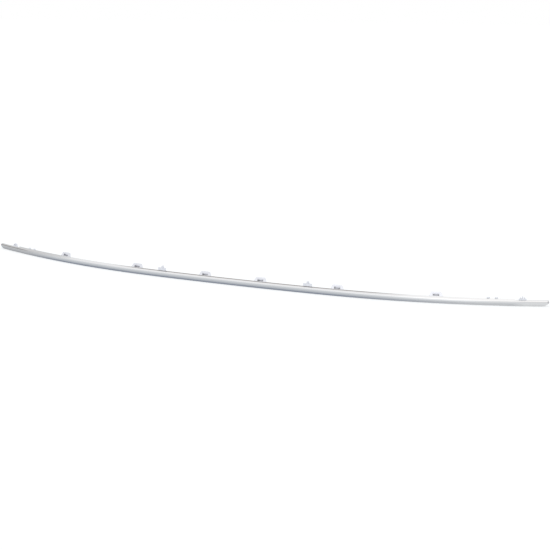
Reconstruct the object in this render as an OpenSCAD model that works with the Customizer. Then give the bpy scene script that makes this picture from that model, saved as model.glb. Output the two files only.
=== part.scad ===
// Chromed bumper trim strip: a long moulding with a C-shaped section that
// follows the curve of a bumper, with leaning snap tabs, locating pins and
// small lugs along its back edge.
// X runs along the strip, the convex front faces -Y and Z points up.
// The origin is midway in length and depth, level with the underside of the lip.

/* [Curve] */
// Straight distance from tip to tip
chord_length = 1300; // [1000:10:1500]
// Radius of the long middle curve
middle_radius = 4920; // [4000:20:9000]
// Straight width of the middle curve
middle_width = 388; // [200:4:600]
// Radius of the curve of each shoulder
shoulder_radius = 1510; // [1000:10:2500]

/* [Section] */
// Height of the front face up to the crease
face_height = 9.6; // [8:0.1:14]
// Radius of the bulge of the front face
face_radius = 22; // [14:1:60]
// Depth from the front face to the back plane
body_depth = 7; // [6:0.1:12]
// Slope of the top flange above level, in degrees
flange_slope = 30; // [15:1:40]
// Thickness of the face, flange, lip and end walls
wall = 2.2; // [1.6:0.1:2.6]
// Rounding of the lower front edge
lower_round = 1.4; // [0.8:0.1:2]
// Rounding of the crease between face and flange
crease_round = 0.7; // [0.3:0.1:1.2]

/* [Ends] */
// Length of the swept-up lower corner at each tip
corner_length = 16; // [8:1:30]
// Height of the swept-up lower corner at each tip
corner_height = 7; // [4:0.5:8]
// Length of the narrower flange at each tip
narrow_length = 62; // [30:1:80]
// How much the flange is narrower there
narrow_cut = 2.4; // [1:0.1:3]

/* [Snap tabs] */
// Place of the inner tabs, as a share of the way from the middle to a tip
inner_tab_place = 0.099; // [0.06:0.001:0.15]
// Place of the second tabs
second_tab_place = 0.359; // [0.33:0.001:0.45]
// Place of the outer tabs
outer_tab_place = 0.669; // [0.55:0.001:0.72]
// Width of a tab at its foot
tab_base_width = 29; // [24:0.5:36]
// Width of a tab at its top
tab_top_width = 20; // [17:0.5:23]
// Height of a tab above the flange
tab_height = 8.4; // [7.6:0.1:12]
// How far a tab leans back, in degrees
tab_lean = 28; // [10:1:32]
// Thickness of the tabs and of the other plates at the back edge
tab_thickness = 2; // [1.6:0.1:2.6]
// How far those plates reach in over the flange
foot_overlap = 0.8; // [0.5:0.1:1.2]
// Rounding of the top corners of a tab
tab_round = 2.6; // [1:0.1:3]
// Width of the pocket that opens through a tab
pocket_width = 13; // [10:0.5:15]
// Height of the pocket
pocket_height = 4.6; // [4.4:0.1:5]
// Height of the floor of the pocket above the flange
pocket_floor = 0.7; // [0.5:0.1:1.2]
// Depth of the pocket behind the foot of the tab
pocket_depth = 4.8; // [4.4:0.1:6]
// Thickness of the walls of the pocket
pocket_wall = 1.4; // [1.2:0.1:1.8]

/* [Locators] */
// Place of the locating pins, as a share of the way from the middle to a tip
pin_place = 0.261; // [0.2:0.001:0.28]
// Diameter of a locating pin
pin_diameter = 5.6; // [4:0.1:7]
// Height of a locating pin above the flange
pin_height = 9.8; // [8.5:0.1:14]
// Width of the plate in front of a locating pin
pin_plate_width = 19; // [14:0.5:24]
// Height of that plate above the flange
pin_plate_height = 6.4; // [4:0.1:7]
// Distance of the pair of low lugs from the tip
lug_from_tip = 106; // [85:1:130]
// Distance between the two low lugs of a pair
lug_pitch = 16; // [12:0.5:24]
// Width of a low lug
lug_width = 6; // [4:0.5:8]
// Height of a low lug above the flange
lug_height = 2.2; // [2:0.1:5]
// Distance of the finned locators from the tip
fin_from_tip = 49; // [40:1:54]
// Distance between the fins of a finned locator
fin_pitch = 4.2; // [3.5:0.1:6]
// Thickness of a fin
fin_thickness = 1.8; // [1.4:0.1:2.4]
// Height of the outer fins above the flange
fin_height = 4.8; // [4:0.1:7]
// How much the middle fin is taller
fin_extra = 2.2; // [1:0.1:4]
// Width of the foot that joins the fins
fin_foot_width = 15; // [13:0.5:20]
// Height of that foot above the flange
fin_foot_height = 2.4; // [1.5:0.1:3.5]

/* [Webs] */
// Thickness of the webs inside the section
web_thickness = 1.6; // [1.2:0.1:2.4]
// Distance of the web nearest to the middle
first_web_x = 25; // [20:1:30]
// Distance between webs
web_pitch = 50; // [40:1:70]

/* [Hidden] */
steps = 360;
face_steps = 120;
round_steps = 24;
half_length = chord_length / 2;
over = 3;

// Middle curve and the start of the shoulder
middle_angle = asin(middle_width / 2 / middle_radius);
radius_drop = middle_radius - shoulder_radius;
shoulder_cx = radius_drop * sin(middle_angle);
shoulder_cy = middle_radius - radius_drop * cos(middle_angle);
tip_angle = asin((half_length - shoulder_cx) / shoulder_radius);

// Section: y goes back from the front face and z goes up.
// An inset section lies that far inside the full one.
bulge = [face_radius, face_height / 2];
crease_y = face_radius - sqrt(pow(face_radius, 2) - pow(bulge[1], 2));
flange_z = function(y) face_height + (y - crease_y) * tan(flange_slope);
flange_top = flange_z(body_depth);
flange_way = [cos(flange_slope), sin(flange_slope)];
flange_down = [sin(flange_slope), -cos(flange_slope)];

// Middle of the lower rounding, which touches the face and the lip
low_middle = function(inset)
    let (gap = face_radius - inset - lower_round, z = inset + lower_round)
        [face_radius - sqrt(pow(gap, 2) - pow(bulge[1] - z, 2)), z];

// Middle of the crease rounding, which touches the face and the flange
crease_middle = function(inset)
    let (
        gap = face_radius - inset - crease_round,
        start = [crease_y, face_height] + (inset + crease_round) * flange_down - bulge,
        along = start * flange_way
    )
        bulge + start - (along + sqrt(pow(along, 2) - start * start + pow(gap, 2))) * flange_way;

// Points along a rounding, from one angle to another
rounding = function(middle, radius, from, to, count)
    [for (i = [0:count])
        let (angle = from + (to - from) * i / count)
            middle + radius * [cos(angle), sin(angle)]];

// Angle at which a rounding with this middle touches the face
touch_angle = function(middle) 180 + atan((middle[1] - bulge[1]) / (middle[0] - bulge[0]));

// Swept-up corner: an arc that leaves the lip level
corner_radius = (pow(corner_length, 2) + pow(corner_height, 2)) / (2 * corner_height);

// How far the parts inside the section stay clear of the back plane
back_inset = 0.4;
tip_y = shoulder_cy - shoulder_radius * cos(tip_angle);
overall_depth = tip_y + (body_depth - back_inset) * cos(tip_angle) - wall / 2 * sin(tip_angle);

narrow_x = half_length - narrow_length;
narrow_depth = body_depth - narrow_cut;

// How far the plates at the back edge are let into the flange
plate_root = 1.6;

// Distance of a locating pin behind the front of its plate
pin_back = tab_thickness + (pin_diameter + 1) / 2 - 1;

// The section of the shoulders is a hair smaller, and is let into the middle's
seam_step = 0.05;
seam_overlap = 4;

// Angle along the curve at a distance x from the middle
curve_angle = function(x)
    x <= middle_width / 2
        ? asin(x / middle_radius)
        : asin((x - shoulder_cx) / shoulder_radius);

// Sets its children on the curve at a distance x from the middle
module at_curve(x) {
    angle = curve_angle(x);
    on_middle = x <= middle_width / 2;
    radius = on_middle ? middle_radius : shoulder_radius;
    centre_x = on_middle ? 0 : shoulder_cx;
    centre_y = on_middle ? middle_radius : shoulder_cy;
    translate([centre_x + radius * sin(angle), centre_y - radius * cos(angle), 0])
        rotate([0, 0, angle])
            children();
}

// Draws its children at both sides of the middle
module both_sides() {
    children();
    mirror([1, 0, 0])
        children();
}

// Sweeps a section round an arc of the given radius, from one angle to another
module sweep(radius, from, to) {
    rotate([0, 0, 270 + from])
        rotate_extrude(angle = to - from, $fn = steps)
            translate([radius, 0])
                mirror([1, 0])
                    children();
}

// Sweeps a section along the right shoulder, from one angle to another
module sweep_shoulder(from, to) {
    translate([shoulder_cx, shoulder_cy, 0])
        sweep(shoulder_radius, from, to)
            children();
}

// Full outline of the section, before it is hollowed.
// Its roundings run on a little past the face, and the bulge trims them.
module outer_section(inset) {
    low = low_middle(inset);
    crease = crease_middle(inset);
    low_points = rounding(low, lower_round, 270, touch_angle(low), 4);
    crease_points = rounding(crease, crease_round, touch_angle(crease), 90 + flange_slope, 3);
    low_end = 2 * low_points[4] - low_points[3];
    crease_start = 2 * crease_points[0] - crease_points[1];
    intersection() {
        polygon([
            [body_depth - inset, inset],
            for (i = [0:3]) low_points[i],
            low_end,
            low_end - [1, 0],
            crease_start - [1, 0],
            crease_start,
            for (i = [1:3]) crease_points[i],
            [body_depth - inset, flange_z(body_depth - inset) - inset / flange_way[0]]
        ]);
        translate(bulge)
            circle(r = face_radius - inset, $fn = face_steps);
    }
}

// Hollow of the section, open at the back
module hollow_section(inset) {
    back = body_depth + over;
    depth = wall - inset;
    intersection() {
        polygon([
            [0, depth],
            [back, depth],
            [back, flange_z(back) - depth / flange_way[0]],
            [0, flange_z(0) - depth / flange_way[0]]
        ]);
        translate(bulge)
            circle(r = face_radius - depth, $fn = face_steps);
    }
}

// Section of the moulding: face, flange and lip round a hollow
module open_section(inset) {
    difference() {
        outer_section(inset);
        hollow_section(inset);
    }
}

// Strip of the flange that is left out near a tip
module narrow_section() {
    translate([narrow_depth, face_height / 2])
        square([narrow_cut + over, flange_top]);
}

// Space below the swept-up corner at the right tip
module corner_space() {
    at_curve(half_length)
        translate([-corner_length, -over, corner_radius])
            rotate([-90, 0, 0])
                linear_extrude(height = body_depth + 2 * over)
                    difference() {
                        square([corner_length + over, corner_radius + over]);
                        circle(r = corner_radius, $fn = face_steps);
                    }
}

// Wall that closes the section at the right tip
module end_wall() {
    at_curve(half_length)
        translate([-wall, 0, 0])
            plate_across(wall, narrow_depth - back_inset);
}

// Fills the corner of the section at the right tip, above the swept-up edge
module corner_fill() {
    at_curve(half_length)
        translate([-corner_length, body_depth - back_inset, corner_radius])
            rotate([90, 0, 0])
                mirror([0, 1])
                    linear_extrude(height = body_depth - back_inset - wall * 0.6)
                        intersection() {
                            difference() {
                                square([corner_length - wall / 2, corner_radius - wall / 2]);
                                circle(r = corner_radius - wall, $fn = face_steps);
                            }
                            translate([0, corner_radius - corner_height - wall])
                                square([corner_length, corner_height + wall]);
                        }
}

// The moulding itself: an open section with closed ends
module moulding() {
    difference() {
        union() {
            translate([0, middle_radius, 0])
                sweep(middle_radius, -middle_angle, middle_angle)
                    open_section(0);
            both_sides() {
                difference() {
                    sweep_shoulder(middle_angle - asin(seam_overlap / shoulder_radius), tip_angle)
                        open_section(seam_step);
                    sweep_shoulder(curve_angle(narrow_x), tip_angle + 1)
                        narrow_section();
                }
                end_wall();
                corner_fill();
            }
        }
        both_sides()
            corner_space();
    }
}

// Front view of a tab: narrower at the top, with rounded top corners
module tab_outline(height) {
    lean = atan((tab_base_width - tab_top_width) / 2 / height);
    reach = tab_round / tan((90 + lean) / 2);
    flat = tab_top_width / 2 - reach;
    side_x = tab_top_width / 2 + reach * sin(lean);
    side_z = height - reach * cos(lean);
    polygon([
        [-tab_base_width / 2, -plate_root],
        [tab_base_width / 2, -plate_root],
        [tab_base_width / 2, 0],
        [side_x, side_z],
        [flat, height],
        [-flat, height],
        [-side_x, side_z],
        [-tab_base_width / 2, 0]
    ]);
    for (x = [-flat, flat])
        translate([x, height - tab_round])
            circle(r = tab_round, $fn = round_steps);
}

// Gives a front view the thickness of a plate, behind y = 0
module plate() {
    translate([0, tab_thickness, 0])
        rotate([90, 0, 0])
            linear_extrude(height = tab_thickness)
                children();
}

// Upright plate, rooted a little below z = 0
module upright_plate(width, height) {
    plate()
        translate([-width / 2, -plate_root])
            square([width, height + plate_root]);
}

// Walls of the pocket behind a leaning tab, before the pocket is cut
module pocket_block() {
    width = pocket_width + 2 * pocket_wall;
    low = pocket_floor - pocket_wall - 0.3;
    top = pocket_floor + pocket_height + pocket_wall;
    back = pocket_depth + pocket_wall;
    let_in = tab_thickness / cos(tab_lean) / 2;
    translate([-width / 2, 0, 0])
        rotate([90, 0, 90])
            linear_extrude(height = width)
                polygon([
                    [low * tan(tab_lean) + let_in, low],
                    [back, low],
                    [back, top],
                    [top * tan(tab_lean) + let_in, top]
                ]);
}

// Leaning tab, with the pocket that opens through it
module snap_tab() {
    difference() {
        union() {
            rotate([-tab_lean, 0, 0])
                plate()
                    tab_outline(tab_height / cos(tab_lean));
            pocket_block();
        }
        translate([-pocket_width / 2, -over, pocket_floor])
            cube([pocket_width, pocket_depth + over, pocket_height]);
    }
}

// Locating pin with a tapered tip, on a boss behind an upright plate
module locating_pin() {
    taper = 0.6;
    boss_diameter = pin_diameter + 1;
    boss_root = plate_root - 0.4;
    shaft_height = pin_height - pin_plate_height + 0.1 - taper;
    upright_plate(pin_plate_width, pin_plate_height - 0.4);
    translate([0, pin_back, 0]) {
        translate([0, 0, -boss_root])
            cylinder(d = boss_diameter, h = boss_root + pin_plate_height, $fn = round_steps);
        translate([0, 0, pin_plate_height - 0.1])
            cylinder(d = pin_diameter, h = shaft_height, $fn = round_steps);
        translate([0, 0, pin_height - taper])
            cylinder(d1 = pin_diameter, d2 = pin_diameter - 2 * taper, h = taper, $fn = round_steps);
    }
}

// Pair of low lugs
module low_lugs() {
    for (x = [-lug_pitch / 2, lug_pitch / 2])
        translate([x, 0, 0])
            upright_plate(lug_width, lug_height);
}

// Locator of three fins on a foot
module finned_locator() {
    fin_depth = 3.6;
    set_back = 0.3;
    upright_plate(fin_foot_width, fin_foot_height);
    for (i = [-1:1])
        translate([i * fin_pitch - fin_thickness / 2, set_back, 0.4 - plate_root])
            cube([fin_thickness, fin_depth, fin_height + plate_root - 0.4 + (i == 0 ? fin_extra : 0)]);
}

// Sets its children on the back edge of the flange at a distance x from the
// middle, for a flange of this depth
module at_back_edge(x, depth) {
    at_curve(x)
        translate([0, depth - foot_overlap, flange_z(depth)])
            children();
}

// Plate across the inside of the section, let into its walls
module plate_across(thickness, back) {
    rotate([90, 0, 90])
        linear_extrude(height = thickness)
            polygon([
                [wall * 0.6, wall * 0.5],
                [back, wall * 0.5],
                [back, flange_z(back) - wall / 2],
                [wall * 0.6, flange_z(wall * 0.6) - wall / 2]
            ]);
}

// Everything that stands on the back edge of the right half, and the webs inside
module fittings() {
    for (place = [inner_tab_place, second_tab_place, outer_tab_place])
        at_back_edge(place * half_length, body_depth)
            snap_tab();
    at_back_edge(pin_place * half_length, body_depth)
        locating_pin();
    at_back_edge(half_length - lug_from_tip, body_depth)
        low_lugs();
    at_back_edge(half_length - fin_from_tip, narrow_depth)
        finned_locator();
    for (x = [first_web_x:web_pitch:half_length - 40])
        at_curve(x)
            plate_across(web_thickness, body_depth - 1.2);
}

module trim_strip() {
    color("silver")
        translate([0, -overall_depth / 2, 0]) {
            moulding();
            both_sides()
                fittings();
        }
}

trim_strip();
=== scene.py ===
"""Looks of the chromed bumper trim strip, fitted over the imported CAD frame."""
import math

import bpy
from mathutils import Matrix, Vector


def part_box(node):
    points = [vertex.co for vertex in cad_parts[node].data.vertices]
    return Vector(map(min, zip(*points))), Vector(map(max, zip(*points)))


# The photograph's viewpoint, in degrees and metres: to the right of the strip and a little above it
CAMERA_AZIMUTH = 22.23
CAMERA_ELEVATION = 16.3
CAMERA_DISTANCE = 2.2107
CAMERA_ROLL = -0.15
FIELD_OF_VIEW = 30.0

# Shift of the frame in pixels, so that the strip reaches both sides of the picture
PICTURE_WIDTH = 550
SHIFT_RIGHT = 44.0
SHIFT_UP = 10.2

# The studio. A radiance of 1 is white
WHITE = (1.0, 1.0, 1.0, 1.0)
FLOOR_SIZE = 30.0
FLOOR_COLOUR = (0.7, 0.7, 0.7, 1.0)
FLOOR_ROUGHNESS = 0.9
FLOOR_GLOW = 0.34
ROOM_COLOUR = (0.94, 0.97, 1.0, 1.0)
ROOM_LIGHT = 0.9
LAMP_DISTANCE = 4.0

# Soft lamps: name, direction from the strip, spread in degrees, radiance and colour
LAMPS = (
    ("overhead", (0.25, 0.25, 0.93), 40, 0.17, (1.0, 0.985, 0.965)),
    ("overhead_wide", (-0.22, 0.25, 0.94), 52, 0.42, (1.0, 0.985, 0.965)),
    ("front", (0.2, -0.78, 0.6), 56, 0.4, (1.0, 0.99, 0.98)),
)

# Heights on the strip, in metres above the floor
CREASE = 0.0096
FLANGE_TOP = 0.01334
NARROW_FLANGE_TOP = 0.01195
POCKET_SILL = (0.0138, 0.0152)
POCKET_HEAD = (0.0149, 0.0157)
EDGE_BLUR = 0.0003

# Painted reflections: tones of the studio painted into the plating's colour, mostly darker towards the
# lower edge as painted shade, from the lower edge up: height and colour
LEFT_TONES = (
    (0.0, (0.38, 0.39, 0.41)),
    (0.0056, (0.45, 0.455, 0.465)),
    (CREASE, (0.48, 0.48, 0.485)),
    (0.0104, (0.6, 0.6, 0.605)),
)
MIDDLE_TONES = (
    (0.0, (0.2, 0.228, 0.295)),
    (0.0016, (0.245, 0.272, 0.335)),
    (0.0033, (0.36, 0.38, 0.415)),
    (0.0056, (0.49, 0.505, 0.53)),
    (0.0078, (0.57, 0.585, 0.6)),
    (CREASE, (0.64, 0.65, 0.665)),
    (0.0104, (0.57, 0.575, 0.585)),
)
RIGHT_TONES = (
    (0.0, (0.56, 0.567, 0.58)),
    (0.0036, (0.525, 0.532, 0.545)),
    (0.0056, (0.585, 0.592, 0.605)),
    (0.0072, (0.84, 0.84, 0.845)),
    (CREASE, (0.94, 0.94, 0.94)),
    (0.0104, (0.575, 0.575, 0.58)),
)
BEND_TONES = (
    (0.0, (0.55, 0.558, 0.57)),
    (0.0036, (0.52, 0.527, 0.538)),
    (0.0056, (0.565, 0.571, 0.58)),
    (0.0078, (0.69, 0.691, 0.697)),
    (CREASE, (0.68, 0.675, 0.67)),
    (0.0104, (0.59, 0.59, 0.595)),
)
TIP_TONES = (
    (0.0, (0.66, 0.665, 0.67)),
    (0.0085, (0.65, 0.65, 0.65)),
    (CREASE, (0.57, 0.56, 0.555)),
    (0.0102, (0.62, 0.62, 0.625)),
)

# Where each run of painted reflection tones fades in, in metres to the right of the strip's middle
FADES = (
    (-0.58, -0.44, MIDDLE_TONES),
    (0.2, 0.58, RIGHT_TONES),
    (0.46, 0.56, BEND_TONES),
    (0.575, 0.61, TIP_TONES),
)

# Dark lines painted on the plating as painted shade, at the back edge, the crease and the narrow
# flange's back: heights, the stretch of the strip and colour
BACK_EDGE_LINE = (0.0121, FLANGE_TOP)
BACK_EDGE_STRETCH = (-0.26, 0.34)
BACK_EDGE_FADE = 0.06
BACK_EDGE_PAINTED_SHADE = (0.25, 0.235, 0.23, 1.0)
CREASE_LINE = (0.009, 0.0099)
CREASE_STRETCH = (-0.54, -0.58)
CREASE_PAINTED_SHADE = (0.16, 0.14, 0.13, 1.0)
NARROW_LINE = (0.0113, NARROW_FLANGE_TOP)
NARROW_LINE_BLUR = 0.0002
NARROW_STRETCH = (0.583, 0.589)
NARROW_PAINTED_SHADE = (0.4, 0.4, 0.41, 1.0)

# The painted shade at the right tip's end: distances in from the end, and heights
TIP_END_MARGIN = (0.0035, 0.0023)
TIP_END_RISE = (0.006, 0.008)

# Tabs, pins, lugs and fins, and the hollows of their pockets: painted shade at the sill and painted
# light at the head
SATIN_COLOUR = (0.745, 0.755, 0.8, 1.0)
SILL_PAINTED_SHADE = (0.13, 0.118, 0.11, 1.0)
HEAD_PAINTED_LIGHT = (0.88, 0.885, 0.92, 1.0)
HOLLOW_REACH = 0.006
HOLLOW_SAMPLES = 8
HOLLOW_OPENNESS = (0.6, 0.3)

# Roughness: the plating has a faint haze, and the fittings are duller by SATIN_ROUGHNESS
POLISH_ROUGHNESS = (0.1, 0.18)
SATIN_ROUGHNESS = 0.3
HAZE_SCALE = 40.0


def aim(thing, target):
    """Turns a camera or lamp to look at a point."""
    way = Vector(target) - thing.location
    thing.rotation_euler = way.to_track_quat("-Z", "Y").to_euler()


def add_camera(target):
    """Adds the camera that looks at the middle of the strip's lower front edge."""
    data = bpy.data.cameras.new("camera")
    data.sensor_fit = "HORIZONTAL"
    data.angle = math.radians(FIELD_OF_VIEW)
    data.shift_x = SHIFT_RIGHT / PICTURE_WIDTH
    data.shift_y = SHIFT_UP / PICTURE_WIDTH
    camera = bpy.data.objects.new("camera", data)
    bpy.context.collection.objects.link(camera)
    azimuth = math.radians(CAMERA_AZIMUTH)
    elevation = math.radians(CAMERA_ELEVATION)
    away = Vector((
        math.sin(azimuth) * math.cos(elevation),
        -math.cos(azimuth) * math.cos(elevation),
        math.sin(elevation),
    ))
    camera.location = Vector(target) + CAMERA_DISTANCE * away
    aim(camera, target)
    camera.rotation_euler.rotate_axis("Z", math.radians(CAMERA_ROLL))
    bpy.context.scene.camera = camera


def add_soft_lamp(name, way, spread, radiance, colour):
    """Adds a soft lamp far away in that direction, which shows as a round glow in the plating."""
    data = bpy.data.lights.new(name, "SUN")
    data.angle = math.radians(spread)
    data.color = colour
    data.energy = radiance * math.pi * math.sin(data.angle / 2) ** 2
    lamp = bpy.data.objects.new(name, data)
    bpy.context.collection.objects.link(lamp)
    lamp.location = Vector(way).normalized() * LAMP_DISTANCE
    aim(lamp, (0.0, 0.0, 0.0))


def feed(tree, source, socket):
    """Feeds an input with another node's socket, or with a plain number or colour."""
    if isinstance(source, bpy.types.NodeSocket):
        tree.links.new(source, socket)
    else:
        socket.default_value = source


def reckon(tree, operation, *values):
    """Returns the outcome of a Math node on sockets and plain numbers."""
    node = tree.nodes.new("ShaderNodeMath")
    node.operation = operation
    for value, socket in zip(values, node.inputs):
        feed(tree, value, socket)
    return node.outputs[0]


def ramp_up(tree, value, start, end):
    """Returns a socket that rises smoothly from 0 to 1 as the value goes from start to end."""
    node = tree.nodes.new("ShaderNodeMapRange")
    node.interpolation_type = "SMOOTHSTEP"
    node.inputs["From Min"].default_value = start
    node.inputs["From Max"].default_value = end
    tree.links.new(value, node.inputs["Value"])
    return node.outputs["Result"]


def within(tree, value, start, end, blur):
    """Returns a mask that is 1 between start and end, with soft edges."""
    rise = ramp_up(tree, value, start - blur, start + blur)
    fall = ramp_up(tree, value, end + blur, end - blur)
    return reckon(tree, "MULTIPLY", rise, fall)


def overlap(tree, first, second):
    """Returns the mask where two masks meet."""
    return reckon(tree, "MULTIPLY", first, second)


def mixed(tree, mask, first, second):
    """Mixes two colours by a mask, which shows the second where it is 1."""
    node = tree.nodes.new("ShaderNodeMix")
    node.data_type = "RGBA"
    tree.links.new(mask, node.inputs["Factor"])
    feed(tree, first, node.inputs[6])
    feed(tree, second, node.inputs[7])
    return node.outputs[2]


def tones(tree, height, stops):
    """Returns the painted reflection colour at a height above the floor."""
    node = tree.nodes.new("ShaderNodeValToRGB")
    ramp = node.color_ramp
    while len(ramp.elements) < len(stops):
        ramp.elements.new(0.5)
    for element, (at, colour) in zip(ramp.elements, stops):
        element.position = at / FLANGE_TOP
        element.color = (*colour, 1.0)
    tree.links.new(reckon(tree, "DIVIDE", height, FLANGE_TOP), node.inputs["Fac"])
    return node.outputs["Color"]


def painted_studio_reflection(tree, along, height):
    """Returns the plating's colour with painted studio reflections, whose tones change along the strip
    as it turns.
    """
    colour = tones(tree, height, LEFT_TONES)
    for start, end, stops in FADES:
        fade = ramp_up(tree, along, start, end)
        colour = mixed(tree, fade, colour, tones(tree, height, stops))
    return colour


def painted_dark_lines(tree, along, height, tip, colour):
    """Paints shade as dark lines along the back edge, the crease and the narrow flange's back, and over
    the right tip's end.
    """
    back_edge = within(tree, height, *BACK_EDGE_LINE, EDGE_BLUR)
    back_edge = overlap(tree, back_edge, within(tree, along, *BACK_EDGE_STRETCH, BACK_EDGE_FADE))
    colour = mixed(tree, back_edge, colour, BACK_EDGE_PAINTED_SHADE)
    crease = within(tree, height, *CREASE_LINE, EDGE_BLUR)
    crease = overlap(tree, crease, ramp_up(tree, along, *CREASE_STRETCH))
    colour = mixed(tree, crease, colour, CREASE_PAINTED_SHADE)
    narrow = within(tree, height, *NARROW_LINE, NARROW_LINE_BLUR)
    narrow = overlap(tree, narrow, ramp_up(tree, along, *NARROW_STRETCH))
    colour = mixed(tree, narrow, colour, NARROW_PAINTED_SHADE)
    start, end = (tip - margin for margin in TIP_END_MARGIN)
    tip_end = overlap(tree, ramp_up(tree, along, start, end), ramp_up(tree, height, *TIP_END_RISE))
    return mixed(tree, tip_end, colour, NARROW_PAINTED_SHADE)


def satin_fittings(tree, along, height, fittings, colour):
    """Gives the fins on the narrow ends and the fittings above the flange their satin colour."""
    outwards = reckon(tree, "ABSOLUTE", along)
    above = ramp_up(tree, height, NARROW_FLANGE_TOP, NARROW_FLANGE_TOP + EDGE_BLUR)
    fins = overlap(tree, ramp_up(tree, outwards, *NARROW_STRETCH), above)
    colour = mixed(tree, fins, colour, SATIN_COLOUR)
    return mixed(tree, fittings, colour, SATIN_COLOUR)


def painted_pocket_shade_and_light(tree, height, colour):
    """Paints shade into the pockets at the sill where they are hollow, and paints them pale at the head
    as painted light.
    """
    open_air = tree.nodes.new("ShaderNodeAmbientOcclusion")
    open_air.samples = HOLLOW_SAMPLES
    open_air.inputs["Distance"].default_value = HOLLOW_REACH
    hollow = ramp_up(tree, open_air.outputs["AO"], *HOLLOW_OPENNESS)
    head = overlap(tree, hollow, ramp_up(tree, height, *POCKET_HEAD))
    colour = mixed(tree, head, colour, HEAD_PAINTED_LIGHT)
    sill = overlap(tree, hollow, within(tree, height, *POCKET_SILL, EDGE_BLUR))
    return mixed(tree, sill, colour, SILL_PAINTED_SHADE)


def hazy_polish(tree, place, fittings):
    """Returns the roughness, with a faint haze over the plating and duller fittings."""
    haze = tree.nodes.new("ShaderNodeTexNoise")
    haze.inputs["Scale"].default_value = HAZE_SCALE
    tree.links.new(place, haze.inputs["Vector"])
    polish = tree.nodes.new("ShaderNodeMapRange")
    polish.inputs["To Min"].default_value = POLISH_ROUGHNESS[0]
    polish.inputs["To Max"].default_value = POLISH_ROUGHNESS[1]
    tree.links.new(haze.outputs["Fac"], polish.inputs["Value"])
    return reckon(tree, "MULTIPLY_ADD", fittings, SATIN_ROUGHNESS, polish.outputs["Result"])


def chrome_material(tip):
    """Bright plating with painted reflections and painted shade lines, satin on the tabs and pins, and
    painted shade in the pockets with painted light at their heads. The tip is its right end.
    """
    material = bpy.data.materials.new("chrome_plating")
    material.use_nodes = True
    tree = material.node_tree
    shader = tree.nodes["Principled BSDF"]
    shader.inputs["Metallic"].default_value = 1.0
    place = tree.nodes.new("ShaderNodeTexCoord").outputs["Object"]
    parts = tree.nodes.new("ShaderNodeSeparateXYZ")
    tree.links.new(place, parts.inputs["Vector"])
    along = parts.outputs["X"]
    height = parts.outputs["Z"]
    fittings = ramp_up(tree, height, FLANGE_TOP, FLANGE_TOP + EDGE_BLUR)
    # Painted reflections of the studio, with painted shade along the lower edge
    colour = painted_studio_reflection(tree, along, height)
    colour = painted_dark_lines(tree, along, height, tip, colour)
    colour = satin_fittings(tree, along, height, fittings, colour)
    colour = painted_pocket_shade_and_light(tree, height, colour)
    tree.links.new(colour, shader.inputs["Base Color"])
    tree.links.new(hazy_polish(tree, place, fittings), shader.inputs["Roughness"])
    return material


def seen_directly(tree):
    """Returns a socket that is 1 for camera, glossy and transmission rays and 0 for others."""
    path = tree.nodes.new("ShaderNodeLightPath")
    seen = reckon(tree, "MAXIMUM", path.outputs["Is Camera Ray"], path.outputs["Is Glossy Ray"])
    return reckon(tree, "MAXIMUM", seen, path.outputs["Is Transmission Ray"])


def add_floor():
    """Adds the pale floor. A little glow brings it to white, and the rest keeps the shadow."""
    bpy.ops.mesh.primitive_plane_add(size=FLOOR_SIZE, location=(0, 0, 0))
    floor = bpy.context.object
    floor.name = "floor"
    material = bpy.data.materials.new("floor")
    material.use_nodes = True
    tree = material.node_tree
    shader = tree.nodes["Principled BSDF"]
    shader.inputs["Base Color"].default_value = FLOOR_COLOUR
    shader.inputs["Roughness"].default_value = FLOOR_ROUGHNESS
    shader.inputs["Specular IOR Level"].default_value = 0.0
    shader.inputs["Emission Color"].default_value = WHITE
    glow = reckon(tree, "MULTIPLY", seen_directly(tree), FLOOR_GLOW)
    tree.links.new(glow, shader.inputs["Emission Strength"])
    floor.data.materials.append(material)


def light_world():
    """Lights the room plainly, and shows it as white to the camera and in reflections."""
    world = bpy.data.worlds.new("studio")
    bpy.context.scene.world = world
    world.use_nodes = True
    tree = world.node_tree
    room = tree.nodes["Background"]
    room.inputs["Color"].default_value = ROOM_COLOUR
    room.inputs["Strength"].default_value = ROOM_LIGHT
    white = tree.nodes.new("ShaderNodeBackground")
    white.inputs["Color"].default_value = WHITE
    white.inputs["Strength"].default_value = 1.0
    mix = tree.nodes.new("ShaderNodeMixShader")
    tree.links.new(seen_directly(tree), mix.inputs["Fac"])
    tree.links.new(room.outputs["Background"], mix.inputs[1])
    tree.links.new(white.outputs["Background"], mix.inputs[2])
    tree.links.new(mix.outputs["Shader"], tree.nodes["World Output"].inputs["Surface"])


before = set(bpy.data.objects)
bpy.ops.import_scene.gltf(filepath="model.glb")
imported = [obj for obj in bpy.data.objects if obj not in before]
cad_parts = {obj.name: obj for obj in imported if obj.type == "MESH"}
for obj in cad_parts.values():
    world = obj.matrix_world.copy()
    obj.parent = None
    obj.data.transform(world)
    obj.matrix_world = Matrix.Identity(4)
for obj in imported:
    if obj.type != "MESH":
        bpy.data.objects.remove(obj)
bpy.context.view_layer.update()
low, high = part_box("trim_strip")
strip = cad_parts["trim_strip"]
strip.data.materials.clear()
strip.data.materials.append(chrome_material(high.x))
add_camera((0.0, low.y, 0.0))
add_floor()
light_world()
for lamp in LAMPS:
    add_soft_lamp(*lamp)
bpy.context.scene.view_settings.view_transform = "Standard"
